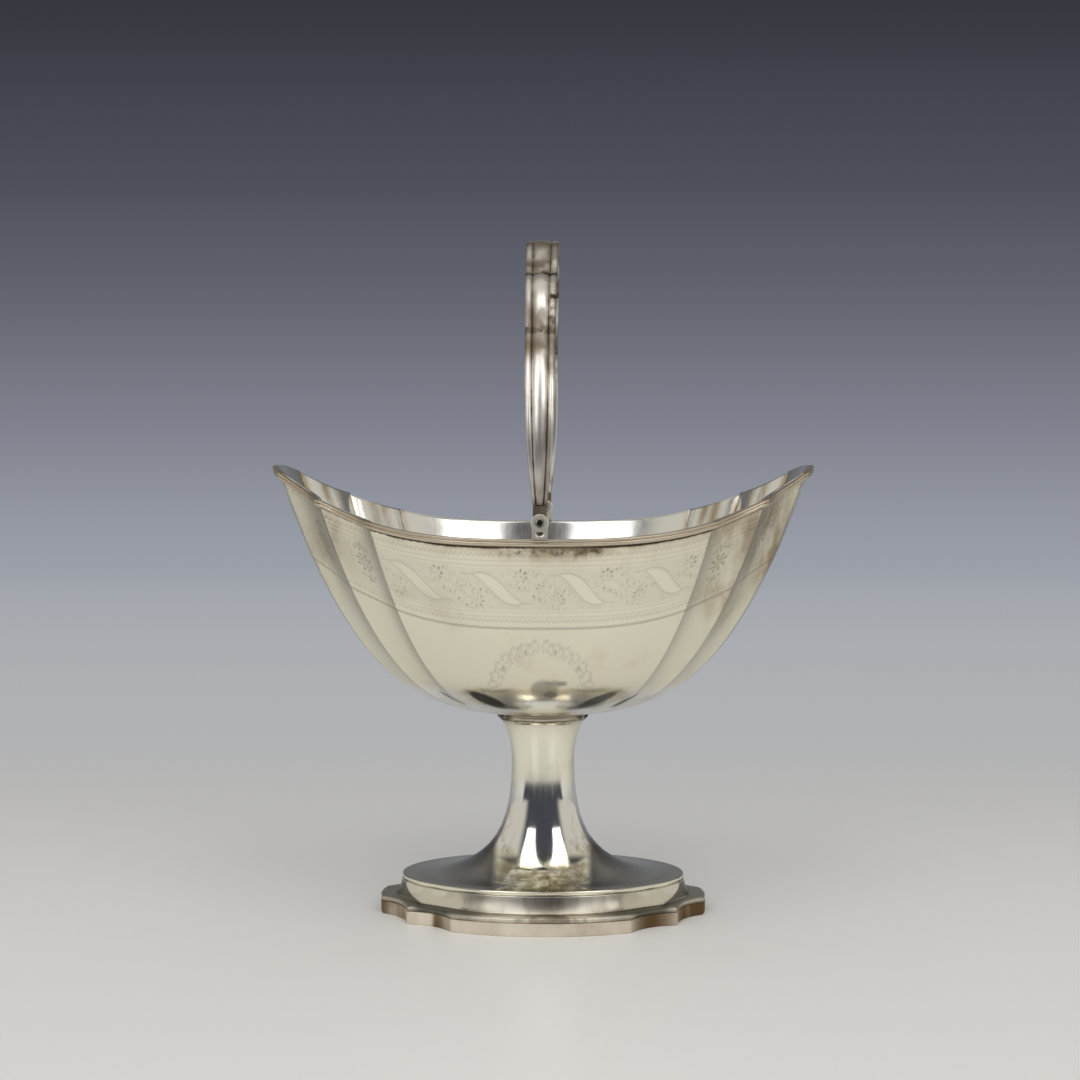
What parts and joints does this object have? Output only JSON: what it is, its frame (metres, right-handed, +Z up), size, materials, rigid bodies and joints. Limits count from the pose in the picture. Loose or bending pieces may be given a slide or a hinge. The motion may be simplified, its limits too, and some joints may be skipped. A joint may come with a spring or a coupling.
{
  "type": "swing-handled sugar basket",
  "caption": "Boat-shaped silver sugar basket on an oval trumpet foot, with panelled sides, bright-cut borders and a lobed reeded swing handle.",
  "frame": {"origin": "bottom centre of the foot, on the table", "axes": "+Z up, X along the length of the bowl from tip to tip, front towards -Y; the handle stands upright over the short Y direction at rest"},
  "size_m": [0.1456, 0.1074, 0.1816],
  "materials": {
    "bowl_silver": "polished silver with bright-cut engraving, light handling marks",
    "moulding_silver": "polished silver with brown tarnish in the groove between its beads",
    "collar_silver": "silver with dark solder stain",
    "stem_silver": "polished silver",
    "foot_plate_silver": "polished silver, tarnished in the step",
    "foot_band_silver": "silver with warm brown tarnish",
    "lug_silver": "polished silver, tarnished round the pin",
    "pin_silver": "dark tarnished silver wire",
    "tip_silver": "polished silver",
    "handle_silver": "polished silver, brown tarnish along the reeding"
  },
  "bodies": {
    "basket": {"bowl_shell": "bowl_silver", "rim_moulding": "moulding_silver", "stem_collar": "collar_silver", "foot_stem": "stem_silver", "foot_base": "foot_plate_silver", "foot_edge_band": "foot_band_silver", "hinge_lug_front": "lug_silver", "hinge_lug_back": "lug_silver", "hinge_pin_front": "pin_silver", "hinge_pin_back": "pin_silver"},
    "handle": {"handle_arch": "handle_silver", "handle_tip_front": "tip_silver", "handle_tip_back": "tip_silver"}
  },
  "joints": [
    {"name": "handle_swing", "type": "hinge", "parent": "basket", "child": "handle", "pos_m": [0, 0, 0.1082], "axis": [0, 1, 0], "range_deg": [-74, 74]}
  ]
}
